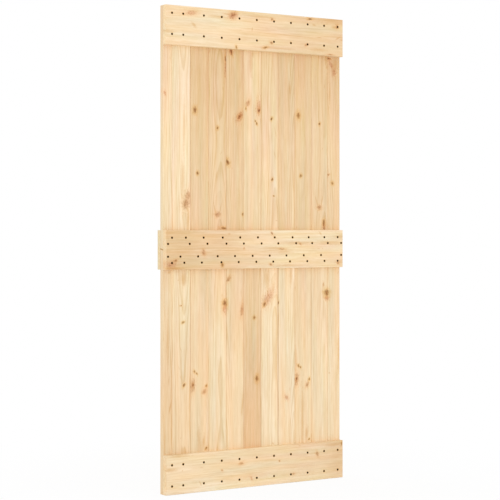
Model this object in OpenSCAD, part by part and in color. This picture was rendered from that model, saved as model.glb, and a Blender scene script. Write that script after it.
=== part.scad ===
// Ledged barn door leaf of pine.
// Upright tongue-and-groove boards are held by flat cross boards, called ledgers:
// three on the front and one on the back at mid height. Dark countersunk screws
// are driven from the front.
// The origin is the middle of the bottom edge, in the mid-plane of the boards.
// X runs along the width, Y towards the back and Z up. All sizes are in millimetres.

/* [Boards] */
// Height of the leaf
leaf_height = 2040; // [1800:5:2300]
// Width that a full board covers
board_cover = 88; // [78:1:120]
// Width of the trimmed board at the left edge
first_board_width = 43; // [38:1:88]
// Width of the trimmed board at the right edge
last_board_width = 65; // [45:1:88]
// Thickness of the boards
board_thickness = 25; // [22:0.5:32]
// Leg of the bevel beside each joint
joint_bevel = 2; // [1:0.25:4]
// Leg of the small bevel along the leaf's two outer edges
edge_bevel = 1; // [0.5:0.25:2]

/* [Tongue and groove] */
// Thickness of the tongue
tongue_thickness = 8; // [6:0.5:10]
// How far the tongue stands out of its board
tongue_depth = 8; // [6:0.5:11]
// Leg of the bevel on the tip of the tongue
tongue_tip = 1; // [0.5:0.25:2]
// Play all round the tongue in its groove
tongue_play = 0.2; // [0.1:0.05:0.5]

/* [Ledgers] */
// Height of each ledger
ledger_height = 165; // [150:1:220]
// Thickness of each ledger
ledger_thickness = 25; // [22:0.5:32]
// Radius of the eased edges round the face of a ledger
ledger_ease = 3; // [1:0.5:6]

/* [Screws] */
// Diameter of the shank
screw_diameter = 4.5; // [3:0.25:5]
// Diameter of the head
screw_head = 9; // [7:0.25:10]
// Height of the straight rim of the head
screw_rim = 0.4; // [0.2:0.1:1]
// Length of the pointed end
screw_point = 6; // [4:0.5:10]
// How far a screw reaches into the last piece that it holds
screw_bite = 20; // [12:1:21]
// How far the head lies below the face of its ledger
screw_sink = 0.3; // [0.2:0.1:1]
// Play all round a screw in its hole
screw_play = 0.15; // [0.1:0.05:0.3]
// Width across the cross recess in the head
recess_span = 4.4; // [3:0.2:4.8]
// Width of each slot of the recess
recess_slot = 1; // [0.6:0.1:1.6]
// Depth of the recess
recess_depth = 1.6; // [0.8:0.1:1.8]

/* [Screw rows] */
// Distance of the topmost row below the top edge
top_row_inset = 33.5; // [25:0.5:45]
// Distance of the lowest row above the bottom edge
bottom_row_inset = 36.5; // [25:0.5:45]
// Distance between the two rows of the top ledger, and of the bottom ledger
row_spacing = 88; // [60:1:100]
// Half the distance between the two inner rows of the middle ledger
inner_row_offset = 26.5; // [16:0.5:36]
// How far the rows of the middle ledger lie below its mid-line
middle_row_drop = 1.5; // [0:0.5:8]
// Drop from one screw of a slanted pair to the other
pair_drop = 26; // [16:1:32]
// Sideways step from one screw of a slanted pair to the other
pair_slant = 18.5; // [10:0.5:22]
// Distance of the screws in the two trimmed boards from the leaf's edge
edge_inset = 28.5; // [24:0.5:32]
// Distance of the outermost screws of the middle ledger from the leaf's edge
outermost_inset = 9.5; // [7:0.5:14]
// Shift of the top and bottom screws from the middle of a full board
face_shift = 7; // [-12:1:12]
// The same shift on the first full board
first_face_shift = -5; // [-12:1:12]
// Shift of the upper slanted pairs from the middle of a full board
upper_pair_shift = 20; // [8:1:22]
// Shift of the lower slanted pairs from the middle of a full board
lower_pair_shift = -6; // [-12:1:8]
// Shift that counts as one where a slanted pair strays from its place
stray_shift = 1; // [0:0.1:1.2]

/* [Hidden] */
// Boards from the left
BOARD_NODES = [
    "board_01", "board_02", "board_03", "board_04", "board_05", "board_06",
    "board_07", "board_08", "board_09", "board_10", "board_11"
];
LEDGER_NODES = ["top_ledger", "middle_ledger", "bottom_ledger", "back_ledger"];
// Screw rows from the top down
ROW_NODES = [
    "top_screws_upper", "top_screws_lower",
    "middle_screws_upper_short", "middle_screws_upper_long",
    "middle_screws_lower_long", "middle_screws_lower_short",
    "bottom_screws_upper", "bottom_screws_lower"
];

// Numbers of the screw rows that a piece takes, from the top down
TOP_ROWS = [0, 1];
MIDDLE_ROWS = [2, 3, 4, 5];
LONG_ROWS = [3, 4];
BOTTOM_ROWS = [6, 7];
ALL_ROWS = [0 : len(ROW_NODES) - 1];

// Numbers of the boards, from the left
last_board = len(BOARD_NODES) - 1;
full_boards = len(BOARD_NODES) - 2;
ALL_BOARDS = [0 : last_board];

// Shifts by which each slanted pair strays, as set by eye, board by board
UPPER_STRAY = [0, -3, -5, 1, 0, 2, 0, 5, 2, -2, 0];
LOWER_STRAY = [0, -3, -6, 2, 0, 1, 0, -1, 2, 6, 0];

leaf_width = first_board_width + full_boards * board_cover + last_board_width;
board_front = -board_thickness / 2;
board_back = board_thickness / 2;
ledger_front = board_front - ledger_thickness;
mid_height = leaf_height / 2;
middle_rows = mid_height - middle_row_drop;
groove_thickness = tongue_thickness + 2 * tongue_play;
groove_depth = tongue_depth + tongue_play;
short_screw = ledger_thickness - screw_sink + screw_bite;
long_screw = short_screw + board_thickness;

// Turn of the recess from one screw to the next
recess_turn = 37;
// How far a cut runs out past the face that it opens
cut_over = 2;
// Steps in a drawn circle
round_steps = 32;

board_pine = [0.93, 0.81, 0.64];
ledger_pine = [0.95, 0.83, 0.66];
screw_black = [0.13, 0.11, 0.10];

// Left edge, width and middle of a board, counted from the left
function board_left(i) =
    -leaf_width / 2 + (i == 0 ? 0 : first_board_width + (i - 1) * board_cover);
function board_width(i) =
    i == 0 ? first_board_width : i == last_board ? last_board_width : board_cover;
function board_middle(i) = board_left(i) + board_width(i) / 2;

// Height of a screw row
function row_height(row) = [
    leaf_height - top_row_inset,
    leaf_height - top_row_inset - row_spacing,
    middle_rows + inner_row_offset + pair_drop,
    middle_rows + inner_row_offset,
    middle_rows - inner_row_offset,
    middle_rows - inner_row_offset - pair_drop,
    bottom_row_inset + row_spacing,
    bottom_row_inset
][row];

// Place of a row's screw on a full board, from the middle of that board
function full_board_place(row, i) =
    row == 2 ? upper_pair_shift + stray_shift * UPPER_STRAY[i] - pair_slant / 2 :
    row == 3 ? upper_pair_shift + stray_shift * UPPER_STRAY[i] + pair_slant / 2 :
    row == 4 ? lower_pair_shift + stray_shift * LOWER_STRAY[i] - pair_slant / 2 :
    row == 5 ? lower_pair_shift + stray_shift * LOWER_STRAY[i] + pair_slant / 2 :
    i == 1 ? first_face_shift : face_shift;

// Distance of a row's screw on a trimmed board from the leaf's edge
function trimmed_board_inset(row) = is_long(row) ? outermost_inset : edge_inset;

// Place of a row's screw along the width
function screw_place(row, i) =
    i == 0 ? -leaf_width / 2 + trimmed_board_inset(row) :
    i == last_board ? leaf_width / 2 - trimmed_board_inset(row) :
    board_middle(i) + full_board_place(row, i);

// The long screws hold the back ledger, and the short ones only the boards
function is_long(row) = len(search(row, LONG_ROWS)) > 0;
function screw_length(row) = is_long(row) ? long_screw : short_screw;

// Turned form of a screw, head up at the origin, grown all round by a play
module screw_form(length, play, over) {
    head_radius = screw_head / 2;
    shank_radius = screw_diameter / 2;
    cone_end = screw_rim + head_radius - shank_radius;
    rotate_extrude($fn = round_steps)
        polygon([
            [0, over],
            [head_radius + play, over],
            [head_radius + play, -screw_rim],
            [shank_radius + play, -cone_end],
            [shank_radius + play, screw_point - length],
            [0, -length - play]
        ]);
}

// Sets something made head up at the origin in the place of one screw
module at_screw(row, i) {
    translate([screw_place(row, i), ledger_front + screw_sink, row_height(row)])
        rotate([90, 0, 0])
            children();
}

// Holes for the screws of some rows in some boards
module screw_holes(rows, boards) {
    for (row = rows)
        for (i = boards)
            at_screw(row, i)
                screw_form(screw_length(row), screw_play, cut_over);
}

// Section of a board: tongue on the right, groove on the left, and a plain
// edge where the leaf ends
module board_section(i) {
    width = board_width(i);
    left_bevel = i == 0 ? edge_bevel : joint_bevel;
    right_bevel = i == last_board ? edge_bevel : joint_bevel;
    tongue = [
        [width, -tongue_thickness / 2],
        [width + tongue_depth - tongue_tip, -tongue_thickness / 2],
        [width + tongue_depth, -tongue_thickness / 2 + tongue_tip],
        [width + tongue_depth, tongue_thickness / 2 - tongue_tip],
        [width + tongue_depth - tongue_tip, tongue_thickness / 2],
        [width, tongue_thickness / 2]
    ];
    groove = [
        [0, groove_thickness / 2],
        [groove_depth, groove_thickness / 2],
        [groove_depth, -groove_thickness / 2],
        [0, -groove_thickness / 2]
    ];
    polygon(concat(
        [[0, board_front + left_bevel], [left_bevel, board_front]],
        [[width - right_bevel, board_front], [width, board_front + right_bevel]],
        i == last_board ? [] : tongue,
        [[width, board_back - right_bevel], [width - right_bevel, board_back]],
        [[left_bevel, board_back], [0, board_back - left_bevel]],
        i == 0 ? [] : groove
    ));
}

// One upright board with the holes of its own screws
module board(i) {
    color(board_pine)
        difference() {
            translate([board_left(i), 0, 0])
                linear_extrude(leaf_height)
                    board_section(i);
            screw_holes(ALL_ROWS, [i]);
        }
}

// Section of a ledger with its face at y = 0: two eased edges on the face
// and square edges against the boards
module eased_section(width) {
    translate([-width / 2, ledger_ease])
        square([width, ledger_thickness - ledger_ease]);
    translate([-width / 2 + ledger_ease, 0])
        square([width - 2 * ledger_ease, 2 * ledger_ease]);
    for (side = [-1, 1])
        translate([side * (width / 2 - ledger_ease), ledger_ease])
            circle(r = ledger_ease, $fn = round_steps);
}

// Flat ledger with its face at y = 0 and its middle at x = 0 and z = 0,
// eased along its length and at its ends
module ledger_form() {
    intersection() {
        linear_extrude(ledger_height, center = true)
            eased_section(leaf_width);
        rotate([0, -90, 0])
            linear_extrude(leaf_width, center = true)
                eased_section(ledger_height);
    }
}

// Ledger on the front of the boards
module front_ledger(middle, rows) {
    color(ledger_pine)
        difference() {
            translate([0, ledger_front, middle])
                ledger_form();
            screw_holes(rows, ALL_BOARDS);
        }
}

module top_ledger() {
    front_ledger(leaf_height - ledger_height / 2, TOP_ROWS);
}

module middle_ledger() {
    front_ledger(mid_height, MIDDLE_ROWS);
}

module bottom_ledger() {
    front_ledger(ledger_height / 2, BOTTOM_ROWS);
}

// Ledger on the back of the boards, face to the back, held by the long screws
module back_ledger() {
    color(ledger_pine)
        difference() {
            translate([0, board_back + ledger_thickness, mid_height])
                mirror([0, 1, 0])
                    ledger_form();
            screw_holes(LONG_ROWS, ALL_BOARDS);
        }
}

// Countersunk screw with a cross recess, head up at the origin
module screw(length, turn) {
    difference() {
        screw_form(length, 0, 0);
        for (slot_turn = [turn, turn + 90])
            rotate([0, 0, slot_turn])
                translate([-recess_span / 2, -recess_slot / 2, -recess_depth])
                    cube([recess_span, recess_slot, recess_depth + cut_over]);
    }
}

// One row of screws, each with its recess turned another way
module screw_row(row) {
    color(screw_black)
        for (i = ALL_BOARDS)
            at_screw(row, i)
                screw(screw_length(row), recess_turn * (i + row));
}

for (i = ALL_BOARDS)
    board(i);
top_ledger();
middle_ledger();
bottom_ledger();
back_ledger();
for (row = ALL_ROWS)
    screw_row(row);
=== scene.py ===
"""Looks of a ledged barn door leaf: upright pine boards, pine ledgers and dark screws.

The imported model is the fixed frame. Boards and ledgers keep their solids and take pine finishes
that are worked out from the way each board lay in its log. The rows of screws are rebuilt as
turned surfaces with a tapered cross recess. Sizes inside the finishes are in millimetres, counted
from the left edge, the mid-plane of the boards and the bottom of the leaf.
"""

import logging
import math
from dataclasses import dataclass, replace
from enum import Enum
from functools import reduce
from typing import Mapping, Optional, Sequence, Union

import bpy
import numpy as np
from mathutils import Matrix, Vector


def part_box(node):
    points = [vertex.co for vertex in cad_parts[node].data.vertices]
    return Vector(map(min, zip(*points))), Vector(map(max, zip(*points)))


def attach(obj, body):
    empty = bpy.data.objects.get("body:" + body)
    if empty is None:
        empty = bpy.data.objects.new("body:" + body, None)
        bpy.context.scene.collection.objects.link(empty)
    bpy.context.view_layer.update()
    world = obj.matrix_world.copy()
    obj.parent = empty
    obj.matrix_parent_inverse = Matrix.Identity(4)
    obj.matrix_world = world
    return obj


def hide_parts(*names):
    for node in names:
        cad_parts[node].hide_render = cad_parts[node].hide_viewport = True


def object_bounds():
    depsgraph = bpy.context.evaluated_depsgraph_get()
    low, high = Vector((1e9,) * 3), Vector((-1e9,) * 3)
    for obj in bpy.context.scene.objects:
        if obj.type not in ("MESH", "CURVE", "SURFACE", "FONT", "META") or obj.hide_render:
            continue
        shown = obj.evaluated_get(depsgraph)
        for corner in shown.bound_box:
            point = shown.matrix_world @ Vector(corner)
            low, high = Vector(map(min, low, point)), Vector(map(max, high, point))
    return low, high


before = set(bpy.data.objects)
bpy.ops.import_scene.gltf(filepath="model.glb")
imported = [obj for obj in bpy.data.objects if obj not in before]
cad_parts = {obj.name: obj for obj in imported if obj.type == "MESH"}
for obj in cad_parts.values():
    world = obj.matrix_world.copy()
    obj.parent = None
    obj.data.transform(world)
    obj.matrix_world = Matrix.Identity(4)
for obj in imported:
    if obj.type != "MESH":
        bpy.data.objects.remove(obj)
CAD_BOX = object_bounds()

LOG = logging.getLogger("barn_door")
MM = 0.001
NOISE_MEAN = 0.5
WHITE = (1.0, 1.0, 1.0)

# A fade gives the value at which a thing starts to show and the one at which it shows fully.
Fade = tuple[float, float]
Colour = tuple[float, float, float]
Place = tuple[float, float, float]
Value = Union["Field", float, int, Sequence[float]]


class Field:
    """One shader socket. Python's operators on it add Math nodes to its tree."""

    def __init__(self, tree: "FinishTree", socket: bpy.types.NodeSocket) -> None:
        """Keeps the socket and the tree that it belongs to."""
        self.tree = tree
        self.socket = socket

    def __add__(self, other: Value) -> "Field":
        """Sum of two values."""
        return self.tree.math("ADD", self, other)

    __radd__ = __add__

    def __sub__(self, other: Value) -> "Field":
        """Difference of two values."""
        return self.tree.math("SUBTRACT", self, other)

    def __rsub__(self, other: Value) -> "Field":
        """Difference of two values."""
        return self.tree.math("SUBTRACT", other, self)

    def __mul__(self, other: Value) -> "Field":
        """Product of two values."""
        return self.tree.math("MULTIPLY", self, other)

    __rmul__ = __mul__

    def __truediv__(self, other: Value) -> "Field":
        """Quotient of two values."""
        return self.tree.math("DIVIDE", self, other)

    def __pow__(self, other: Value) -> "Field":
        """Power of two values."""
        return self.tree.math("POWER", self, other)

    def __abs__(self) -> "Field":
        """Value without its sign."""
        return self.tree.math("ABSOLUTE", self)

    def lesser(self, other: Value) -> "Field":
        """Lesser of two values."""
        return self.tree.math("MINIMUM", self, other)

    def greater(self, other: Value) -> "Field":
        """Greater of two values."""
        return self.tree.math("MAXIMUM", self, other)

    def floor(self) -> "Field":
        """Whole number at or below the value."""
        return self.tree.math("FLOOR", self)

    def fraction(self) -> "Field":
        """What is left of the value above its whole number."""
        return self.tree.math("FRACT", self)

    def step(self, start: float, end: float) -> "Field":
        """Smooth step between two values, which may run in either direction.

        Args:
            start: value at which the step is 0.
            end: value at which the step is 1.

        Returns:
            The height of the step, from 0 to 1.
        """
        return self.tree.node(
            "MapRange",
            {"interpolation_type": "SMOOTHSTEP"},
            {"Value": self, "From Min": start, "From Max": end},
        )


class FinishTree:
    """The nodes of one material or world, made from Python expressions."""

    def __init__(self, owner: Union[bpy.types.Material, bpy.types.World]) -> None:
        """Takes over a new material or world and clears its nodes.

        Args:
            owner: the material or world.
        """
        owner.use_nodes = True
        self.owner = owner
        self.tree = owner.node_tree
        self.tree.nodes.clear()

    def node(
        self,
        kind: str,
        settings: Optional[Mapping[str, object]] = None,
        sockets: Optional[Mapping[Union[str, int], Value]] = None,
        output: Union[str, int] = 0,
    ) -> Field:
        """Adds one node, sets it up and connects it.

        Args:
            kind: the node's type, without the word ShaderNode.
            settings: attributes of the node, which are set first.
            sockets: value or link for each input, by name or number.
            output: name or number of the output that is handed back.

        Returns:
            The chosen output as a Field.
        """
        made = self.tree.nodes.new("ShaderNode" + kind)
        for key, setting in (settings or {}).items():
            setattr(made, key, setting)
        for key, value in (sockets or {}).items():
            socket = made.inputs[key]
            if isinstance(value, Field):
                self.tree.links.new(value.socket, socket)
            elif isinstance(value, (int, float)):
                socket.default_value = value
            else:
                room = len(socket.default_value)
                socket.default_value = (tuple(value) + (1.0,))[:room]
        return Field(self, made.outputs[output])

    def math(self, operation: str, *values: Value) -> Field:
        """A Math node on one or two values."""
        return self.node("Math", {"operation": operation}, dict(enumerate(values)))

    def scale(self, colour: Value, amount: Value) -> Field:
        """A colour or vector times a number."""
        return self.node("VectorMath", {"operation": "SCALE"}, {0: colour, "Scale": amount})

    def times(self, first: Value, second: Value) -> Field:
        """Two colours or vectors multiplied part by part."""
        return self.node("VectorMath", {"operation": "MULTIPLY"}, {0: first, 1: second})

    def plus(self, first: Value, second: Value) -> Field:
        """Two colours or vectors added part by part."""
        return self.node("VectorMath", {"operation": "ADD"}, {0: first, 1: second})

    def blend(self, amount: Value, first: Value, second: Value) -> Field:
        """A colour between two others, the first at amount 0 and the second at 1."""
        return self.node("Mix", {"data_type": "RGBA"}, {0: amount, 6: first, 7: second}, 2)

    def tint(self, amount: Value, colour: Field, shade: Colour) -> Field:
        """A colour multiplied by a shade, as far as the amount says."""
        return self.blend(amount, colour, self.times(colour, shade))

    def parts(self, vector: Field) -> tuple[Field, Field, Field]:
        """Takes a vector apart.

        Args:
            vector: the vector.

        Returns:
            Its parts along X, Y and Z.
        """
        x = self.node("SeparateXYZ", {}, {0: vector})
        outputs = x.socket.node.outputs
        return x, Field(self, outputs[1]), Field(self, outputs[2])

    def join(self, x: Value, y: Value, z: Value) -> Field:
        """A vector from three parts."""
        return self.node("CombineXYZ", {}, {0: x, 1: y, 2: z})

    def noise(self, place: Field, detail: float, rough: float = 0.5, output: str = "Fac") -> Field:
        """Soft noise with a grain of one unit: a number as Fac, or three as Color."""
        sockets = {"Vector": place, "Scale": 1.0, "Detail": detail, "Roughness": rough}
        return self.node("TexNoise", {}, sockets, output)

    def surface(
        self, fixed: Mapping[str, Value], varied: Mapping[str, Field]
    ) -> bpy.types.Material:
        """Ends the tree in a Principled shader, with its fixed and its varied inputs."""
        self.end(self.node("BsdfPrincipled", {}, {**fixed, **varied}))
        return self.owner

    def end(self, shader: Field) -> None:
        """Links a shader to the output of the material or world.

        Args:
            shader: the shader that ends the tree.
        """
        kind = "World" if isinstance(self.owner, bpy.types.World) else "Material"
        made = self.tree.nodes.new("ShaderNodeOutput" + kind)
        self.tree.links.new(shader.socket, made.inputs["Surface"])


class Tone(Enum):
    """Named tones of fresh planed pine, as linear colours. OCHRE at the tops of most boards is
    also painted shade below the top ledger, and HAY is painted shade on the end of the back
    ledger.
    """

    CREAM = (0.930, 0.730, 0.475)
    STRAW = (0.912, 0.704, 0.446)
    BLOND = (0.888, 0.660, 0.405)
    HONEY = (0.843, 0.606, 0.354)
    AMBER = (0.826, 0.578, 0.334)
    OCHRE = (0.788, 0.542, 0.296)
    # HAY is painted shade: the greenish, darker tone of the back ledger's left end, which lies
    # behind the boards.
    HAY = (0.800, 0.648, 0.402)


class Mark(Enum):
    """What a mark in the wood is. Called with numbers, a kind makes such a mark."""

    DARK_KNOT = "dead knot with a dark core and a brown edge"
    RED_KNOT = "sound knot, reddish brown with a pink halo"
    PINK_KNOT = "sound knot cut along its length, a soft pink patch"
    STREAK = "long soft stain of resin"
    # SAPWOOD marks are pale wood; the bands along the middle ledger's top edge are a painted
    # highlight, and the band along the bottom ledger's foot is partly painted light from below.
    SAPWOOD = "long pale band of young wood"
    # PRESSED is pressed brown wood about a screw head together with painted shade of the
    # countersink round it.
    PRESSED = "ring of pressed brown wood about the head of a screw"

    def __call__(
        self, x: float, z: float, wide: float, tall: float, tilt: float = 0.0
    ) -> "Spot":
        """A mark of this kind, with the values that Spot tells of."""
        return Spot(self, x, z, wide, tall, tilt)


CREAM, STRAW, BLOND, HONEY, AMBER, OCHRE, HAY = Tone
DARK, RED, PINK, STAIN, PALE, PRESSED = Mark


class Run(Enum):
    """Which way the grain of a piece runs."""

    UPRIGHT = "along the height of the leaf"
    ACROSS = "along the width of the leaf"


@dataclass(frozen=True)
class Spot:
    """One mark on a face.

    x and z give its place on the leaf, wide and tall its half sizes before it is tilted, and tilt
    the turn of its long side from upright, to the right, in degrees.
    """

    kind: Mark
    x: float
    z: float
    wide: float
    tall: float
    tilt: float


@dataclass(frozen=True)
class Sawing:
    """Where a piece lay in its log.

    across and depth give the pith from the middle of the piece, ring the distance between two
    rings, and lean how far the pith drifts in depth for each millimetre of length. contrast says
    how strongly the rings show.
    """

    across: float
    depth: float
    ring: float
    lean: float
    seed: float
    contrast: float = 1.0


@dataclass(frozen=True)
class Seam:
    """How strongly the shade in a joint shows in the upper and in the lower half of the leaf."""

    upper: float
    lower: float


@dataclass(frozen=True)
class Pattern:
    """Noise drawn out along the grain.

    share says how strongly it counts, wide and long give the size of its patches in millimetres,
    detail the number of finer layers, and rough how strongly those count.
    """

    share: float
    wide: float
    long: float
    detail: float
    rough: float = 0.5


@dataclass(frozen=True)
class Grain:
    """Place in a piece of wood along its grain, across it and in depth, in millimetres."""

    tree: FinishTree
    along: Field
    across: Field
    depth: Field
    seed: float

    def drawn(self, pattern: Pattern) -> Field:
        """The noise of a pattern, without its share.

        Args:
            pattern: size and detail of the noise.

        Returns:
            Noise from 0 to 1, drawn out along the grain.
        """
        place = self.tree.join(
            self.across / pattern.wide + self.seed,
            self.depth / pattern.wide,
            self.along / pattern.long + self.seed,
        )
        return self.tree.noise(place, pattern.detail, pattern.rough)

    def swing(self, pattern: Pattern) -> Field:
        """The noise of a pattern about zero, times its share."""
        return pattern.share * (self.drawn(pattern) - NOISE_MEAN)


@dataclass(frozen=True)
class Change:
    """How far late wood, fibres and knots change a property of the surface."""

    late: float
    fibre: float
    knot: float

    def total(self, late: Field, fibre: Field, knots: Value) -> Field:
        """Sum of the three, each times its share."""
        return self.late * late + self.fibre * fibre + self.knot * knots


@dataclass(frozen=True)
class KnotTint:
    """Tints of one kind of knot. Each darkens the wood further, from the halo to the core.

    The fades of halo, body and heart count in the knot's own half sizes.
    """

    halo: Colour
    body: Colour
    core: Colour
    halo_fade: Fade = (3.6, 0.8)
    body_fade: Fade = (1.75, 0.5)
    heart_fade: Fade = (0.9, 0.1)
    heart_share: float = 0.28
    ring_count: float = 5.0
    ring_fade: Fade = (0.1, 0.9)
    ring_share: float = 0.28
    mottle_fade: Fade = (0.40, 0.72)

    def paint(
        self, tree: FinishTree, colour: Field, far: Field, mottle: Field
    ) -> tuple[Field, Field]:
        """Paints the knots of this kind into a piece of wood, whose grain shows through.

        Args:
            tree: the material's tree.
            colour: the wood without them.
            far: distance to the nearest of them, 1 on its outline.
            mottle: noise that makes a knot darker in flecks.

        Returns:
            The colour with the knots, and how far a place belongs to one.
        """
        share = far.step(*self.body_fade)
        rings = (far * self.ring_count).fraction().step(*self.ring_fade)
        ringed = 1.0 - self.ring_share / 2 + self.ring_share * rings
        heart = 1.0 - self.heart_share + self.heart_share * far.step(*self.heart_fade)
        layers = (
            (far.step(*self.halo_fade), self.halo),
            (share * ringed * heart, self.body),
            (share * mottle.step(*self.mottle_fade), self.core),
        )
        for amount, shade in layers:
            colour = tree.tint(amount, colour, shade)
        return colour, share


@dataclass(frozen=True)
class PineFinish:
    """Planed bare pine: rings about a pith, bands, flecks, fibres, knots and end grain.

    Lengths are in millimetres. Darker wood loses most in its blue and least in its red. ring_mean
    is the average of the late wood, so that a piece keeps the tone that it was given. The pith
    strays by wander over wander_length, read along wander_row of the noise. The fades of marks
    count in a mark's own half sizes, and that of an end in the slope of the face.
    """

    ring_share: float = 0.20
    ring_mean: float = 0.22
    ring_least: float = 0.25
    late_start: Fade = (0.30, 0.90)
    late_end: Fade = (1.0, 0.93)
    wander: float = 22.0
    wander_length: float = 640.0
    wander_row: float = 0.5
    broad: Pattern = Pattern(0.18, 26.0, 900.0, 1.0)
    band: Pattern = Pattern(0.24, 10.0, 420.0, 2.0, 0.55)
    fleck: Pattern = Pattern(0.36, 5.0, 80.0, 2.0, 0.6)
    fibre: Pattern = Pattern(0.12, 1.1, 45.0, 3.0, 0.6)
    yellow: Pattern = Pattern(0.20, 26.0, 336.0, 0.0)
    blush: Pattern = Pattern(0.20, 30.0, 378.0, 0.0)
    bend: Pattern = Pattern(7.0, 48.0, 460.0, 2.0)
    ragged: Pattern = Pattern(1.2, 7.0, 10.0, 3.0, 0.6)
    mottle: Pattern = Pattern(1.0, 5.0, 7.0, 2.0, 0.6)
    darkening: Colour = (0.62, 1.0, 1.72)
    yellowing: Colour = (0.42, 0.47, -0.42)
    blushing: Colour = (0.42, -0.34, 0.08)
    dark_knot: KnotTint = KnotTint((0.95, 0.83, 0.62), (0.53, 0.39, 0.24), (0.56, 0.46, 0.38))
    red_knot: KnotTint = KnotTint((0.985, 0.90, 0.81), (0.77, 0.63, 0.53), (0.68, 0.57, 0.48))
    pink_knot: KnotTint = KnotTint((0.99, 0.92, 0.86), (0.89, 0.74, 0.69), (0.76, 0.64, 0.55))
    knot_bend: float = 5.0
    knot_bend_fade: Fade = (2.6, 0.3)
    mark_lean: float = 10.0
    mark_reach: float = 1.0e5
    streak_tint: Colour = (0.88, 0.77, 0.63)
    # Lightening of pale bands: pale wood, and painted light where they lie along ledger edges.
    pale_wood_and_light_tint: Colour = (1.03, 1.11, 1.22)
    streak_fade: Fade = (1.7, 0.0)
    # Brown ring round each screw head: pressed wood and painted shade of the countersink.
    pressed_and_shade_tint: Colour = (0.88, 0.72, 0.45)
    pressed_and_shade_fade: Fade = (1.45, 1.0)
    seam_tint: Colour = (0.60, 0.46, 0.33)
    seam_fade: Fade = (3.4, 1.2)
    upper_fade: Fade = (990.0, 1050.0)
    end_tint: Colour = (1.04, 1.03, 1.0)
    end_fade: Fade = (0.6, 0.9)
    roughness: float = 0.60
    rough_change: Change = Change(-0.06, 0.10, -0.14)
    relief: Change = Change(0.55, 0.45, -0.35)
    bump_depth: float = 0.00006
    bump_strength: float = 0.5
    specular: float = 0.32

    def leaf_place(self, tree: FinishTree) -> Field:
        """Place on the leaf in millimetres from its left edge, mid-plane and bottom.

        Args:
            tree: the tree of the finish.

        Returns:
            The place as a vector.
        """
        place = tree.node("TexCoord", {}, {}, "Object")
        left = -CAD_BOX[0].x / MM
        return tree.node(
            "Mapping",
            {"vector_type": "POINT"},
            {"Vector": place, "Location": (left, 0.0, 0.0), "Scale": (1 / MM,) * 3},
        )

    def distance(self, tree: FinishTree, place: Field, spot: Spot, face: float) -> Field:
        """How far a place is from one mark, counted in the mark's own half sizes.

        The mark is a slightly leaning cylinder through the piece. A Mapping node moves it to the
        middle and divides by its half sizes, so that the length of the result is 1 on its outline.

        Args:
            tree: the material's tree.
            place: place on the leaf.
            spot: the mark.
            face: depth of the face on which it was measured.

        Returns:
            The distance, 0 in the middle of the mark.
        """
        local = tree.node(
            "Mapping",
            {"vector_type": "TEXTURE"},
            {
                "Vector": place,
                "Location": (spot.x, face, spot.z),
                "Rotation": (math.radians(self.mark_lean), math.radians(spot.tilt), 0.0),
                "Scale": (spot.wide, self.mark_reach, spot.tall),
            },
        )
        return tree.node("VectorMath", {"operation": "LENGTH"}, {0: local}, "Value")

    def late_wood(self, grain: Grain, sawing: Sawing, bend: Field) -> Field:
        """The dark part of each ring.

        The distance to a slightly wandering pith, bent by the grain, is divided by the ring width.
        The fraction of that is early wood that darkens slowly into late wood and then breaks off,
        more in one ring than in the next.

        Args:
            grain: place in the wood.
            sawing: where the piece lay in its log.
            bend: how far the rings are pushed aside.

        Returns:
            0 in early wood, up to 1 in late wood.
        """
        tree = grain.tree
        place = tree.join(sawing.seed, self.wander_row, grain.along / self.wander_length)
        drift = tree.parts(tree.noise(place, detail=1.0, output="Color"))
        aside = grain.across - sawing.across + self.wander * (drift[0] - NOISE_MEAN)
        behind = grain.depth - sawing.depth + self.wander * (drift[1] - NOISE_MEAN)
        behind = behind + sawing.lean * grain.along
        count = ((aside**2.0 + behind**2.0) ** 0.5 + bend) / sawing.ring
        part = count.fraction()
        chance = tree.node(
            "TexWhiteNoise", {"noise_dimensions": "1D"}, {"W": count.floor() + sawing.seed}
        )
        strength = self.ring_least + (1.0 - self.ring_least) * chance
        return part.step(*self.late_start) * part.step(*self.late_end) * strength

    def make(
        self,
        name: str,
        run: Run,
        middle: float,
        face: float,
        sawing: Sawing,
        tone: "ToneRun",
        spots: Sequence[Spot],
        seams: Sequence[tuple[float, Seam]] = (),
    ) -> bpy.types.Material:
        """Makes the material of one board or ledger.

        The tone is darkened by the late wood and by noise drawn out along the grain, which bends
        round the knots. Stains, pale bands (some of them painted light along ledger edges), knots,
        pressed wood with painted shade of the countersinks, the shade of the joints and the end
        grain come on top.

        Args:
            name: the material's name.
            run: which way the grain runs.
            middle: middle of the piece across its grain.
            face: depth of its outer face.
            sawing: where it lay in its log.
            tone: its tones from one end to the other.
            spots: its knots and other marks.
            seams: place of each joint beside it, and the shade there.

        Returns:
            The finished material.
        """
        tree = FinishTree(bpy.data.materials.new(name))
        place = self.leaf_place(tree)
        x, depth, z = tree.parts(place)
        along, across = (z, x - middle) if run is Run.UPRIGHT else (x, z - middle)
        straight = Grain(tree, along, across, depth, sawing.seed)

        ragged = 1.0 + straight.swing(self.ragged)
        mottle = straight.drawn(self.mottle)
        away = {}
        for kind in Mark:
            marks = [spot for spot in spots if spot.kind is kind]
            if marks:
                found = (self.distance(tree, place, spot, face) for spot in marks)
                away[kind] = reduce(Field.lesser, found) * ragged

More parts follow.
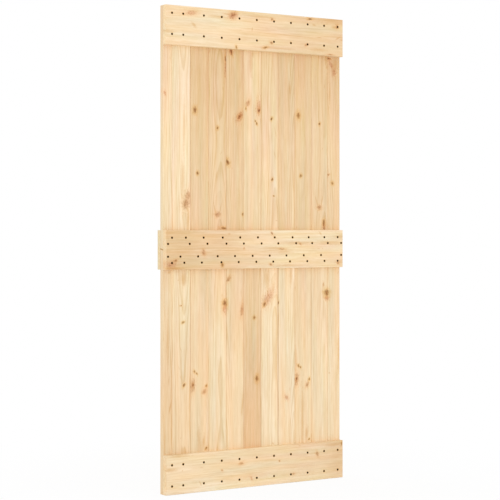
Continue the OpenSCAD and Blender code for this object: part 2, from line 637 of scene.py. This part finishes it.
        bend = self.bend.share * straight.drawn(self.bend)
        for kind in (DARK, RED, PINK):
            if kind in away:
                bend = bend + self.knot_bend * away[kind].step(*self.knot_bend_fade)
        late = self.late_wood(straight, sawing, bend)
        grain = replace(straight, across=across + bend)
        fibre = grain.drawn(self.fibre)
        dark = (
            self.ring_share * sawing.contrast * (late - self.ring_mean)
            + grain.swing(self.broad)
            + grain.swing(self.band)
            + grain.swing(self.fleck)
            + self.fibre.share * (fibre - NOISE_MEAN)
        )
        level = tree.scale(self.darkening, -1.0 * dark)
        level = tree.plus(level, tree.scale(self.yellowing, grain.swing(self.yellow)))
        level = tree.plus(level, tree.scale(self.blushing, grain.swing(self.blush)))
        colour = tree.times(tone.colour(tree, along), tree.plus(level, WHITE))

        # Stains darken the wood; pale bands lighten it, and where they lie along ledger edges they
        # are painted light.
        for kind, shade in ((STAIN, self.streak_tint), (PALE, self.pale_wood_and_light_tint)):
            if kind in away:
                colour = tree.tint(away[kind].step(*self.streak_fade), colour, shade)
        knots: Value = 0.0
        for kind, knot in ((PINK, self.pink_knot), (RED, self.red_knot), (DARK, self.dark_knot)):
            if kind in away:
                colour, share = knot.paint(tree, colour, away[kind], mottle)
                knots = tree.math("MAXIMUM", knots, share)
        # Darker ring round each screw head on the front ledgers: pressed wood and painted
        # countersink shade.
        if PRESSED in away:
            colour = tree.tint(away[PRESSED].step(*self.pressed_and_shade_fade), colour, self.pressed_and_shade_tint)

        for seam_place, seam in seams:
            near = abs(x - seam_place).step(*self.seam_fade)
            share = seam.lower + (seam.upper - seam.lower) * z.step(*self.upper_fade)
            colour = tree.tint(near * share, colour, self.seam_tint)
        sides = tree.parts(tree.node("TexCoord", {}, {}, "Normal"))
        end = abs(sides[2] if run is Run.UPRIGHT else sides[0]).step(*self.end_fade)
        colour = tree.tint(end, colour, self.end_tint)

        rough = self.roughness + self.rough_change.total(late, fibre, knots)
        height = self.relief.total(late, fibre, knots)
        bump = tree.node(
            "Bump",
            {},
            {"Strength": self.bump_strength, "Distance": self.bump_depth, "Height": height},
        )
        return tree.surface(
            {"Specular IOR Level": self.specular},
            {"Base Color": colour, "Roughness": rough, "Normal": bump},
        )


@dataclass(frozen=True)
class ToneRun:
    """Tones along a piece: each with the place where it is fully reached."""

    stops: tuple[tuple[float, Tone], ...]

    def colour(self, tree: FinishTree, along: Field) -> Value:
        """The tone at a place along the piece, blended smoothly from stop to stop.

        Args:
            tree: the material's tree.
            along: place along the piece.

        Returns:
            The colour.
        """
        (place, tone), *rest = self.stops
        colour: Value = tone.value
        for next_place, next_tone in rest:
            colour = tree.blend(along.step(place, next_place), colour, next_tone.value)
            place = next_place
        return colour


@dataclass(frozen=True)
class BlackSteelFinish:
    """Black coating on the steel of a screw, with a dull brown bloom."""

    coat: Colour = (0.018, 0.007, 0.002)
    bloom: Colour = (0.042, 0.019, 0.006)
    bloom_fade: Fade = (0.35, 0.75)
    fine_scale: float = 6.0
    roughness: float = 0.50
    rough_patch: float = 0.22
    rough_fine: float = 0.08
    bump_depth: float = 0.00003
    bump_strength: float = 0.35
    specular: float = 0.06

    def make(self, name: str) -> bpy.types.Material:
        """Makes the material: bloom in soft patches of about a millimetre, rougher there.

        Args:
            name: the material's name.

        Returns:
            The finished material.
        """
        tree = FinishTree(bpy.data.materials.new(name))
        place = tree.scale(tree.node("TexCoord", {}, {}, "Object"), 1 / MM)
        patch = tree.noise(place, detail=3.0, rough=0.6)
        fine = tree.noise(tree.scale(place, self.fine_scale), detail=2.0)
        colour = tree.blend(patch.step(*self.bloom_fade), self.coat, self.bloom)
        rough = self.roughness + self.rough_patch * patch + self.rough_fine * fine
        bump = tree.node(
            "Bump",
            {},
            {"Strength": self.bump_strength, "Distance": self.bump_depth, "Height": fine},
        )
        return tree.surface(
            {"Specular IOR Level": self.specular},
            {"Base Color": colour, "Roughness": rough, "Normal": bump},
        )


def dress(node: str, material: bpy.types.Material) -> None:
    """Gives a CAD node one material all over.

    Args:
        node: the node's name.
        material: the finish.
    """
    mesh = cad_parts[node].data
    mesh.materials.clear()
    mesh.materials.append(material)
    LOG.info("dressed %s in %s", node, material.name)


def grid_mesh(
    name: str, points: np.ndarray, quads: np.ndarray, fans: np.ndarray
) -> bpy.types.Object:
    """Puts whole arrays of points and faces into a new smooth mesh at the origin.

    Args:
        name: name of the piece.
        points: places in metres, one row for each.
        quads: four point numbers for each four-sided face.
        fans: three point numbers for each three-sided face.

    Returns:
        The new object, linked to the scene.
    """
    mesh = bpy.data.meshes.new(name)
    corners = np.concatenate([quads.ravel(), fans.ravel()]).astype(np.int32)
    sizes = np.concatenate([np.full(len(quads), 4), np.full(len(fans), 3)]).astype(np.int32)
    mesh.vertices.add(len(points))
    mesh.vertices.foreach_set("co", points.astype(np.float32).ravel())
    mesh.loops.add(len(corners))
    mesh.loops.foreach_set("vertex_index", corners)
    mesh.polygons.add(len(sizes))
    mesh.polygons.foreach_set("loop_start", (np.cumsum(sizes) - sizes).astype(np.int32))
    mesh.polygons.foreach_set("use_smooth", np.ones(len(sizes), bool))
    mesh.update(calc_edges=True)
    mesh.validate()
    piece = bpy.data.objects.new(name, mesh)
    bpy.context.scene.collection.objects.link(piece)
    return piece


@dataclass(frozen=True)
class Board:
    """One upright board: where it lay in its log, its tones from the foot up and its marks."""

    sawing: Sawing
    tones: tuple[Tone, Tone, Tone, Tone]
    spots: tuple[Spot, ...]


@dataclass
class BoardPanel:
    """The eleven tongue-and-groove boards of the leaf, from the left.

    The marks of a board stand about from the top down. A knot in a joint lies in two boards.
    """

    cover: float = 88.0
    first_width: float = 43.0
    last_width: float = 65.0
    face: float = -12.5
    finish: PineFinish = PineFinish()
    # The top tone, reached at 1860 mm just below the top ledger, is darker on most boards: painted
    # shade beneath the top ledger.
    tone_heights: tuple[float, ...] = (480.0, 800.0, 960.0, 1080.0, 1420.0, 1860.0)
    seams: tuple[Seam, ...] = (
        Seam(0.0, 0.0), Seam(0.14, 0.17), Seam(0.0, 0.0), Seam(0.11, 0.15), Seam(0.0, 0.14),
        Seam(0.14, 0.28), Seam(0.05, 0.55), Seam(0.0, 0.08), Seam(0.04, 0.08), Seam(0.0, 0.05),
    )
    middle_knot: tuple[Spot, ...] = (DARK(300, 791, 8, 9.5), PINK(299, 768, 7.5, 14))
    right_knot: tuple[Spot, ...] = (DARK(829, 824, 11, 10.5), PINK(829, 800, 9, 7))
    boards: tuple[Board, ...] = (
        Board(Sawing(40.0, 70.0, 4.2, 0.012, 1.3, 1.2), (HONEY, BLOND, STRAW, BLOND), (
            STAIN(-9, 1970, 8, 100), STAIN(33, 1821, 1.6, 6, -12), PINK(8, 1674, 4, 8, -20),
            DARK(0, 1020, 5, 1.6), STAIN(28, 926, 5, 8, 52), PALE(14, 816, 8, 50),
            PALE(-6, 330, 7, 480), STAIN(22, 645, 6, 95), STAIN(27, 474, 2, 17, 4),
            STAIN(34, 365, 3.5, 26, 14), STAIN(6, 220, 1.6, 65),
        )),
        Board(Sawing(8.0, 62.0, 4.4, 0.014, 2.7, 1.2), (BLOND, STRAW, CREAM, STRAW), (
            STAIN(100, 1540, 6, 110), STAIN(95, 1325, 8, 60), RED(117, 1245, 10, 19, 10),
            RED(110, 1217, 14, 21, 16), STAIN(119, 1145, 8, 40), STAIN(73, 893, 2, 5.5, 76),
            STAIN(97, 898, 17, 28), PALE(95, 516, 7, 45), RED(86, 786, 2.4, 3.6, 81),
            DARK(95, 715, 3.6, 5, 58), STAIN(84, 603, 1.6, 15, -20), STAIN(76, 524, 1.4, 8, -20),
            STAIN(82, 487, 1.4, 9, -15), DARK(99, 451, 4, 6, 30), STAIN(84, 231, 1.6, 4, 22),
        )),
        Board(Sawing(-70.0, 50.0, 3.2, 0.010, 4.1), (BLOND, BLOND, HONEY, OCHRE), (
            DARK(152, 1608, 6, 10.5, 3), DARK(165, 1343, 4.2, 5.5, 2), PALE(211, 1243, 6, 120),
            PALE(211, 307, 6, 90), DARK(151, 506, 3.2, 4.6, -20), DARK(162, 497, 2.6, 4.2, -30),
            RED(142, 447, 8.5, 20, 6), DARK(143, 450, 2.2, 5, 6), DARK(208, 443, 3, 4.5, 21),
            RED(198, 420, 6.6, 9.5, 32), STAIN(196, 208, 6, 25, 6), STAIN(181, 190, 3, 26),
            STAIN(173, 216, 8, 50), DARK(208, 180, 3.2, 4.6, 40),
        )),
        Board(Sawing(12.0, 56.0, 3.8, -0.013, 5.6), (STRAW, BLOND, HONEY, OCHRE), (
            STAIN(224, 1862, 2.8, 10, 19), DARK(304, 1835, 3.2, 10, 6), RED(303, 1795, 3.2, 27, 4),
            STAIN(291, 1705, 1.5, 9, 1), STAIN(224, 1688, 1.8, 42, -2),
            DARK(264, 1537, 3.6, 5.4, 8), STAIN(281, 1430, 1.4, 8, 18),
            STAIN(250, 1192, 2.6, 24, -14), STAIN(279, 1196, 2.6, 26, 12), RED(264, 1168, 10, 8),
            DARK(294, 1111, 4, 10, -87), STAIN(286, 824, 1.9, 8, -2), *middle_knot,
        )),
        Board(Sawing(-50.0, -62.0, 3.6, 0.012, 7.2), (STRAW, BLOND, HONEY, OCHRE), (
            PINK(330, 1866, 8, 9), DARK(333, 1864, 3, 10.5, -14), DARK(373, 1590, 5, 7, 36),
            PINK(375, 1590, 11, 20, 34), DARK(314, 1392, 6, 9.5, -16), STAIN(336, 1367, 1.6, 3),
            PALE(366, 1352, 7, 90), DARK(390, 1170, 3, 5, 4), RED(318, 894, 6.2, 11, 35),
            STAIN(381, 834, 1.6, 14), RED(386, 759, 7, 19, 8), STAIN(387, 345, 4.0, 46, 4),
            *middle_knot,
        )),
        Board(Sawing(52.0, -58.0, 3.4, 0.010, 8.4), (AMBER, HONEY, BLOND, BLOND), (
            STAIN(437, 1860, 9, 15), STAIN(432, 1832, 8, 55), RED(416, 1648, 7, 11, 24),
            DARK(406, 1625, 2.4, 4.4), PINK(471, 1632, 9.5, 25, 3), DARK(473, 1619, 3.4, 7, 5),
            DARK(454, 1573, 2.4, 4, -20), DARK(461, 1563, 3, 4.6, -20), STAIN(477, 1214, 1.5, 9),
            DARK(449, 725, 4.2, 5.2, 12), PALE(447, 624, 10, 95), PALE(402, 496, 5, 60),
            DARK(462, 461, 6, 10, 2),
        )),
        Board(Sawing(26.0, 58.0, 3.8, -0.013, 9.9), (CREAM, CREAM, BLOND, HONEY), (
            DARK(537, 1586, 4, 5.8, 20), STAIN(557, 1530, 1.5, 25, -10),
            STAIN(554, 1431, 1.5, 15, -19), DARK(541, 1323, 3.6, 5.2, 25),
            DARK(549, 1251, 2.4, 3.4, -74), STAIN(562, 1144, 2.1, 4.4, -87),
            PALE(555, 1303, 7, 70), STAIN(510, 896, 18, 40), PALE(555, 837, 6, 50),
            PINK(521, 811, 15, 36, 33), DARK(500, 781, 4.6, 7.5, 25), STAIN(545, 174, 3, 7, -52),
        )),
        Board(Sawing(48.0, -66.0, 3.8, 0.013, 11.5), (CREAM, CREAM, HONEY, OCHRE), (
            STAIN(633, 1719, 4.5, 27), STAIN(576, 1654, 1.8, 32, 1), PALE(628, 1786, 6, 50),
            PALE(623, 1396, 6, 90), PALE(613, 1203, 6, 100), STAIN(639, 901, 8, 40),
            PALE(618, 604, 6, 70), PALE(613, 350, 6, 70), DARK(573, 784, 1.8, 6, 11),
            STAIN(574, 716, 1.8, 28, -3), STAIN(632, 406, 1.4, 8, 1), PINK(615, 371, 7, 10, -36),
            STAIN(573, 345, 1.6, 36),
        )),
        Board(Sawing(-64.0, -56.0, 3.2, 0.010, 13.1), (STRAW, BLOND, HONEY, OCHRE), (
            DARK(678, 1607, 6.2, 10, -3), DARK(691, 1342, 4.5, 5.5, 6),
            STAIN(668, 1114, 1.5, 7, 10), STAIN(661, 848, 1.5, 10), STAIN(665, 523, 6, 55),
            STAIN(699, 300, 8, 140), DARK(678, 506, 3.4, 5, -12), DARK(688, 499, 2.6, 4.2, -30),
            RED(668, 446, 8.5, 20, 6), DARK(668, 449, 2.2, 5, 6), DARK(735, 444, 3.2, 5.2, 7),
            RED(725, 421, 6.6, 9.5, 25), STAIN(722, 208, 9, 26, 6), DARK(735, 180, 2.8, 4, 26),
        )),
        Board(Sawing(22.0, 56.0, 3.8, -0.013, 14.6), (STRAW, BLOND, HONEY, OCHRE), (
            STAIN(805, 1865, 1.5, 7, -23), STAIN(826, 1863, 8, 28), STAIN(831, 1828, 4.5, 8, 32),
            STAIN(817, 1741, 1.4, 7, -1), DARK(790, 1573, 3.6, 5, 10),
            STAIN(806, 1463, 1.5, 6, 13), STAIN(775, 1228, 2.6, 24, -14),
            STAIN(804, 1232, 2.6, 26, 12), RED(789, 1203, 9.5, 7), DARK(814, 1136, 5, 10, 3),
            RED(815, 1116, 5, 13), RED(812, 860, 2.4, 6.5, 2), *right_knot,
        )),
        Board(Sawing(-40.0, 66.0, 3.4, -0.011, 16.2), (STRAW, BLOND, HONEY, OCHRE), (
            RED(838, 1866, 4, 11, -83), DARK(836, 1867, 2.6, 8, -83),
            STAIN(888, 1864, 1.6, 9, -17), PINK(853, 1838, 6, 16, -28), PINK(868, 1805, 8, 14, -4),
            STAIN(872, 1840, 20, 34), STAIN(845, 1705, 2.6, 56), RED(837, 1348, 3.7, 6.2, 69),
            DARK(860, 1311, 4.6, 5.6, -26), STAIN(891, 913, 1.7, 7, 24), STAIN(894, 549, 7, 90),
            STAIN(845, 466, 3.9, 4.2, -69), *right_knot,
        )),
    )

    def dress(self) -> None:
        """Gives each board its own pine, with the shade of the joints beside it."""
        last = len(self.boards) - 1
        joints = [self.first_width + self.cover * i for i in range(last)]
        edges = [0.0, *joints, joints[-1] + self.last_width]
        for i, board in enumerate(self.boards):
            beside = [(joints[j], self.seams[j]) for j in (i - 1, i) if 0 <= j < last]
            foot, lower, upper, top = board.tones
            tones = (foot, lower, lower, upper, upper, top)
            tone = ToneRun(tuple(zip(self.tone_heights, tones)))
            node = f"board_{i + 1:02d}"
            middle = (edges[i] + edges[i + 1]) / 2
            material = self.finish.make(
                f"pine_{node}", Run.UPRIGHT, middle, self.face, board.sawing, tone,
                board.spots, beside,
            )
            dress(node, material)


@dataclass(frozen=True)
class Ledger:
    """One ledger: its middle height, outer face, place in its log, tones and marks."""

    node: str
    middle: float
    face: float
    sawing: Sawing
    tone: ToneRun
    spots: tuple[Spot, ...]


@dataclass
class LedgerSet:
    """The ledgers on the front from the top down, then the one on the back.

    Their flecks are shorter than those of the boards. Tones run from the left.
    """

    front: float = -37.5
    back: float = 37.5
    height: float = 165.0
    finish: PineFinish = PineFinish(
        broad=Pattern(0.18, 26.0, 220.0, 1.0),
        band=Pattern(0.29, 10.0, 260.0, 2.0, 0.55),
        fleck=Pattern(0.34, 5.0, 60.0, 2.0, 0.6),
        yellow=Pattern(0.20, 26.0, 208.0, 0.0),
        blush=Pattern(0.20, 30.0, 234.0, 0.0),
        bend=Pattern(7.0, 48.0, 240.0, 2.0),
    )
    fading: ToneRun = ToneRun(((180.0, STRAW), (470.0, BLOND), (700.0, HONEY)))
    rising: ToneRun = ToneRun(
        (
            (0.0, BLOND), (3.0, OCHRE), (90.0, OCHRE), (180.0, AMBER), (270.0, AMBER),
            (420.0, BLOND), (640.0, STRAW),
        )
    )
    bright: ToneRun = ToneRun(((180.0, CREAM), (500.0, STRAW), (760.0, BLOND), (890.0, AMBER)))
    # The back ledger's left end, up to 3 mm, takes HAY: painted shade.
    behind: ToneRun = ToneRun(((0.0, HAY), (3.0, HONEY), (420.0, BLOND), (640.0, STRAW)))
    ledgers: tuple[Ledger, ...] = (
        Ledger("top_ledger", 1957.5, front, Sawing(-170.0, 70.0, 3.4, 0.02, 21.3), fading, (
            DARK(723, 2031, 10, 3), PINK(326, 2016, 13, 20, 69), RED(325, 2019, 8, 10, 69),
            STAIN(296, 2020, 16, 3.0, 5), PINK(121, 2013, 8, 20, 88), RED(524, 2014, 5.5, 4),
            STAIN(744, 2006, 3.5, 9.2, -73), STAIN(852, 2004, 14, 7), RED(868, 2005, 6.5, 6.5),
            STAIN(836, 2033, 100, 15, 1), STAIN(450, 2022, 70, 6, 1), STAIN(246, 2006, 40, 5),
            PALE(341, 1978, 110, 14), STAIN(10, 1929, 35, 6), STAIN(560, 1892, 100, 6),
            STAIN(771, 1898, 50, 6), STAIN(422, 1965, 2.9, 8.6, 7), STAIN(134, 1963, 6, 15, -48),
            STAIN(870, 1954, 3.7, 13, 60), STAIN(896, 1950, 14, 5), STAIN(640, 1951, 85, 1.6, 1),
            STAIN(772, 1953, 13, 1.8), RED(520, 1913, 7, 4.2, 20), RED(702, 1914, 4.8, 3.5),
            DARK(490, 1891, 3.8, 7.6, 72), DARK(342, 1884, 3.4, 5.6, -10), RED(832, 1881, 14, 2.2),
        )),
        Ledger("middle_ledger", 1020.0, front, Sawing(165.0, 60.0, 3.2, -0.02, 23.8), rising, (
            RED(523, 1089, 3.5, 7, -33), STAIN(778, 1088, 4.1, 9.8, -44),
            STAIN(307, 1086, 6.8, 3.8), RED(671, 1042, 2.4, 4.2, -40), RED(381, 1024, 2.8, 3.2),
            STAIN(769, 1021, 6, 1.6), STAIN(790, 1021, 3, 1.6), RED(575, 1020, 11.5, 3),
            STAIN(522, 1014, 52, 1.6, -3), STAIN(300, 1016, 70, 1.4, 1),
            RED(181, 1008, 6.4, 10, -17), RED(46, 975, 4, 7.5, 65), PINK(24, 958, 19, 11),
            DARK(273, 955, 4.5, 5.5), RED(517, 955, 6, 4, 20), RED(873, 955, 4, 5),
            # The two pale bands along the top edge, near 1095 mm, are a painted highlight on the
            # eased edge.
            PALE(221, 1096, 150, 8), PALE(670, 1095, 260, 7), STAIN(34, 943, 44, 6),
            STAIN(612, 948, 70, 5), STAIN(835, 1046, 70, 9), STAIN(884, 962, 30, 9),
            STAIN(584, 1007, 50, 7), STAIN(890, 1072, 40, 9), STAIN(654, 1046, 80, 8),
            STAIN(534, 1025, 60, 7),
        )),
        Ledger("bottom_ledger", 82.5, front, Sawing(-160.0, 66.0, 3.3, 0.02, 25.4), bright, (
            STAIN(668, 158, 6, 2), STAIN(431, 159, 4, 1.6), STAIN(10, 103, 40, 7),
            STAIN(-6, 82, 7, 150), STAIN(848, 150, 60, 7), STAIN(60, 161, 50, 6),
            # PALE(430, 0, ...) lightens the ledger towards its bottom edge: partly pale wood,
            # partly painted light from below.
            PALE(430, 0, 1500, 32), DARK(892, 151, 1.8, 6, 4), RED(761, 116, 5, 8.4, -25),
            RED(367, 105, 9.6, 4.6), STAIN(171, 104, 8.3, 1.6), RED(562, 100, 2.6, 3, -40),
            STAIN(78, 98, 3, 3), RED(271, 83, 3, 4.4, -55), RED(635, 38, 5.5, 3.6),
            STAIN(165, 38, 3.2, 10, -28), PINK(419, 36, 3.2, 7, -28),
        )),
        Ledger("back_ledger", 1020.0, back, Sawing(168.0, -62.0, 3.4, 0.02, 27.7), behind, (
            RED(640, 1058, 9, 6, 10), DARK(300, 990, 8, 5.5), RED(120, 1066, 6, 4),
            DARK(790, 968, 7, 4.5, -8), STAIN(455, 1036, 22, 2.4, 3),
        )),
    )

    def dress(self, heads: Sequence[Spot]) -> None:
        """Gives each ledger its own pine, with the grain along the width.

        Args:
            heads: the pressed wood and painted countersink shade about each screw head, which the
                ledgers on the front show.
        """
        for ledger in self.ledgers:
            reach = self.height / 2 if ledger.face == self.front else 0.0
            # The rings of pressed wood and painted countersink shade that fall on this ledger.
            pressed = [head for head in heads if abs(head.z - ledger.middle) < reach]
            material = self.finish.make(
                f"pine_{ledger.node}", Run.ACROSS, ledger.middle, ledger.face, ledger.sawing,
                ledger.tone, (*ledger.spots, *pressed),
            )
            dress(ledger.node, material)


def smooth_step(part: np.ndarray) -> np.ndarray:
    """Three times the square less twice the cube of each number, held between 0 and 1."""
    part = np.clip(part, 0.0, 1.0)
    return part * part * (3.0 - 2.0 * part)


@dataclass
class ScrewRow:
    """One row of countersunk screws, turned about their own axes.

    Sizes are in metres, apart from face_rings, the radii of the rings on the face in millimetres.
    """

    node: str
    number: int
    head_radius: float = 4.5 * MM
    rim: float = 0.40 * MM
    rim_round: float = 0.15 * MM
    rim_steps: int = 4
    shank_radius: float = 2.25 * MM
    point: float = 6.0 * MM
    face_rings: tuple[float, ...] = (0.35, 0.6, 0.85, 1.1, 1.4, 1.7, 1.95, 2.15, 2.35, 2.8, 3.5)
    face_slack: float = 0.1 * MM
    recess_radius: float = 2.2 * MM
    recess_half: float = 0.5 * MM
    recess_depth: float = 1.6 * MM
    recess_rise: float = 0.55
    wall_half: float = 0.12 * MM
    stop_width: float = 0.25 * MM
    turn_step: float = math.radians(37.0)
    sharp_angle: float = math.radians(40.0)
    steps: int = 64

    def places(self) -> np.ndarray:
        """Middle of each head along X, from the gaps between the solids of the CAD row.

        Returns:
            One place for each screw, from left to right, in metres.
        """
        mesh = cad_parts[self.node].data
        points = np.empty(len(mesh.vertices) * 3, np.float32)
        mesh.vertices.foreach_get("co", points)
        points = points.reshape(-1, 3)
        heads = np.sort(points[points[:, 1] < points[:, 1].min() + self.face_slack, 0])
        cuts = np.flatnonzero(np.diff(heads) > 2 * self.head_radius) + 1
        return np.array([(group[0] + group[-1]) / 2 for group in np.split(heads, cuts)])

    def pressed(self) -> list[Spot]:
        """The pressed wood and painted countersink shade about each head, as marks of the head's
        own size.

        Returns:
            One mark for each screw of the row.
        """
        low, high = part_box(self.node)
        size = self.head_radius / MM
        height = (low.z + high.z) / 2 / MM
        left = CAD_BOX[0].x
        return [PRESSED((x - left) / MM, height, size, size) for x in self.places().tolist()]

    def profile(self, length: float) -> tuple[np.ndarray, np.ndarray]:
        """Outline of the screw from the middle of the head to the point.

        The face is flat, its edge is a quarter circle, the rim is straight, and a cone runs to the
        shank, which ends in a point.

        Args:
            length: length of the screw.

        Returns:
            Radius and depth of each ring, without the two poles.
        """
        bend = np.linspace(0.0, math.pi / 2, self.rim_steps)
        face = np.array(self.face_rings) * MM
        edge = self.head_radius - self.rim_round + self.rim_round * np.sin(bend)
        cone = self.rim + self.head_radius - self.shank_radius
        radius = np.concatenate(
            [face, edge, [self.head_radius, self.shank_radius, self.shank_radius]]
        )
        depth = np.concatenate(
            [
                np.zeros(len(face)),
                self.rim_round * (1.0 - np.cos(bend)),
                [self.rim, cone, length - self.point],
            ]
        )
        return radius, depth

    def recess(self, x: np.ndarray, z: np.ndarray) -> np.ndarray:
        """Depth of the cross recess below the face of the head.

        Across each arm the wall is a smooth step at half the arm's width, along it a smooth step
        at its end, and the floor rises from the middle to the ends.

        Args:
            x: place along one arm.
            z: place along the other arm.

        Returns:
            The depth, 0 outside the recess.
        """
        along = np.maximum(np.abs(x), np.abs(z))
        aside = np.minimum(np.abs(x), np.abs(z))
        wall = smooth_step((self.recess_half + self.wall_half - aside) / (2 * self.wall_half))
        stop = smooth_step((self.recess_radius - along) / self.stop_width)
        floor = 1.0 - self.recess_rise * along / self.recess_radius
        return self.recess_depth * wall * stop * floor

    def build(self, finish: bpy.types.Material) -> bpy.types.Object:
        """Builds the row in place of its CAD node.

        A point is the ring's radius turned about the screw's axis, set back by the ring's depth
        and by the recess. The same rings serve every screw of the row, each turned further.

        Args:
            finish: the material of the screws.

        Returns:
            The new piece.
        """
        low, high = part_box(self.node)
        places = self.places()
        radius, depth = self.profile(high.y - low.y)
        height = (low.z + high.z) / 2
        angle = np.linspace(0.0, 2 * math.pi, self.steps, endpoint=False)
        turn = self.turn_step * (np.arange(len(places)) + self.number)
        ring_x = radius[:, None] * np.cos(angle)
        ring_z = radius[:, None] * np.sin(angle)
        sunk = self.recess(ring_x, ring_z)
        cos, sin = np.cos(turn)[:, None, None], np.sin(turn)[:, None, None]
        x = places[:, None, None] + ring_x * cos - ring_z * sin
        z = height + ring_x * sin + ring_z * cos
        y = np.broadcast_to(low.y + depth[:, None] + sunk, x.shape)
        rings = np.stack([x, y, z], axis=-1).reshape(len(places), -1, 3)
        flat = np.full(len(places), height)
        head = np.stack([places, np.full(len(places), low.y + self.recess_depth), flat], -1)
        tip = np.stack([places, np.full(len(places), high.y), flat], -1)
        points = np.concatenate([rings, head[:, None], tip[:, None]], axis=1)

        step = np.arange(self.steps)
        after = (step + 1) % self.steps
        ring = np.arange(len(radius) - 1)[:, None] * self.steps
        quads = np.stack(
            [ring + step, ring + after, ring + self.steps + after, ring + self.steps + step], -1
        ).reshape(-1, 4)
        last = (len(radius) - 1) * self.steps
        pole = len(radius) * self.steps
        fans = np.concatenate(
            [
                np.stack([np.full(self.steps, pole), after, step], -1),
                np.stack([np.full(self.steps, pole + 1), last + step, last + after], -1),
            ]
        )
        shift = np.arange(len(places))[:, None, None] * points.shape[1]
        piece = grid_mesh(
            f"screws_{self.node}",
            points.reshape(-1, 3),
            (quads + shift).reshape(-1, 4),
            (fans + shift).reshape(-1, 3),
        )
        piece.data.set_sharp_from_angle(angle=self.sharp_angle)
        piece.data.materials.append(finish)
        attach(piece, "root")
        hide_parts(self.node)
        LOG.info("built %s: %d screws", piece.name, len(places))
        return piece


@dataclass
class ScrewSet:
    """The eight rows of screws, from the top down."""

    rows: tuple[str, ...] = (
        "top_screws_upper", "top_screws_lower",
        "middle_screws_upper_short", "middle_screws_upper_long",
        "middle_screws_lower_long", "middle_screws_lower_short",
        "bottom_screws_upper", "bottom_screws_lower",
    )
    finish: BlackSteelFinish = BlackSteelFinish()

    def screw_rows(self) -> list[ScrewRow]:
        """The rows, each with its number."""
        return [ScrewRow(node, number) for number, node in enumerate(self.rows)]

    def pressed(self) -> list[Spot]:
        """The pressed wood and painted countersink shade about the heads of all rows."""
        return [spot for row in self.screw_rows() for spot in row.pressed()]

    def build(self) -> None:
        """Builds every row in one shared finish."""
        material = self.finish.make("black_steel")
        for row in self.screw_rows():
            row.build(material)


@dataclass
class Studio:
    """Pale floor, soft light and the camera, in metres and degrees."""

    eye: Place = (-3.5324, -5.6079, 1.1070)
    heading: float = 32.0934
    lens: float = 110.33
    sensor: float = 36.0
    shift_up: float = -0.0419
    view_reach: float = 200.0
    floor_half: float = 2.5
    floor_drop: float = 0.5 * MM
    floor_tone: Colour = (0.95, 0.95, 0.95)
    floor_lift: float = 0.90
    floor_fade: Fade = (0.7, 1.7)
    sky: float = 0.97
    key_place: Place = (-1.7, -6.2, 1.1)
    key_aim: Place = (0.0, 0.0, 1.1)
    key_strength: float = 0.25
    key_spread: float = 70.0

    def background_rays(self, tree: FinishTree) -> Field:
        """Tells the rays that see the background from those that light the scene.

        Args:
            tree: the tree of the floor or the world.

        Returns:
            1 for rays from the camera and for those that mirror or pass on the background, and 0
            for all others.
        """
        path = tree.node("LightPath", {}, {}, "Is Camera Ray")
        outputs = path.socket.node.outputs
        glossy = Field(tree, outputs["Is Glossy Ray"])
        passed = Field(tree, outputs["Is Transmission Ray"])
        return path.greater(glossy).greater(passed)

    def floor(self) -> None:
        """A wide pale floor that takes the shadow near the leaf and fades to white further off."""
        side = np.array([-self.floor_half, self.floor_half])
        x, y = np.meshgrid(side, side)
        points = np.stack([x, y, np.full_like(x, -self.floor_drop)], axis=-1).reshape(-1, 3)
        floor = grid_mesh("floor", points, np.array([[0, 1, 3, 2]]), np.empty((0, 3), int))
        tree = FinishTree(bpy.data.materials.new("pale_floor"))
        matte = tree.node("BsdfDiffuse", {}, {"Color": self.floor_tone})
        white = tree.node("Emission", {}, {"Color": WHITE, "Strength": 1.0})
        place = tree.node("TexCoord", {}, {}, "Object")
        away = tree.node("VectorMath", {"operation": "LENGTH"}, {0: place}, "Value")
        lift = self.floor_lift + (1.0 - self.floor_lift) * away.step(*self.floor_fade)
        mixed = tree.node(
            "MixShader", {}, {0: lift * self.background_rays(tree), 1: matte, 2: white}
        )
        tree.end(mixed)
        floor.data.materials.append(tree.owner)

    def world(self) -> None:
        """Even white light from all round, seen as white by the camera."""
        world = bpy.data.worlds.new("soft_studio")
        tree = FinishTree(world)
        strength = self.sky + (1.0 - self.sky) * self.background_rays(tree)
        tree.end(tree.node("Background", {}, {"Color": WHITE, "Strength": strength}))
        bpy.context.scene.world = world

    def key_light(self) -> None:
        """One broad even light from far off, on the front of the leaf."""
        light = bpy.data.lights.new("key", "SUN")
        light.energy = self.key_strength
        light.angle = math.radians(self.key_spread)
        holder = bpy.data.objects.new("key", light)
        holder.location = self.key_place
        way = Vector(self.key_aim) - Vector(self.key_place)
        holder.rotation_euler = way.to_track_quat("-Z", "Y").to_euler()
        bpy.context.scene.collection.objects.link(holder)

    def camera(self) -> None:
        """A level camera that looks past the left side of the leaf at its front."""
        lens = bpy.data.cameras.new("camera")
        lens.lens = self.lens
        lens.sensor_width = self.sensor
        lens.shift_y = self.shift_up
        lens.clip_end = self.view_reach
        holder = bpy.data.objects.new("camera", lens)
        holder.location = self.eye
        holder.rotation_euler = (math.pi / 2, 0.0, -math.radians(self.heading))
        bpy.context.scene.collection.objects.link(holder)
        bpy.context.scene.camera = holder

    def build(self) -> None:
        """Sets up the floor, the light and the camera."""
        bpy.context.scene.view_settings.view_transform = "Standard"
        self.world()
        self.floor()
        self.key_light()
        self.camera()
        LOG.info("studio ready")


def main() -> None:
    """Dresses the boards and ledgers, builds the screws and sets up the studio."""
    logging.basicConfig(level=logging.INFO, format="%(name)s: %(message)s")
    BoardPanel().dress()
    screws = ScrewSet()
    LedgerSet().dress(screws.pressed())
    screws.build()
    Studio().build()


if __name__ == "__main__":
    main()
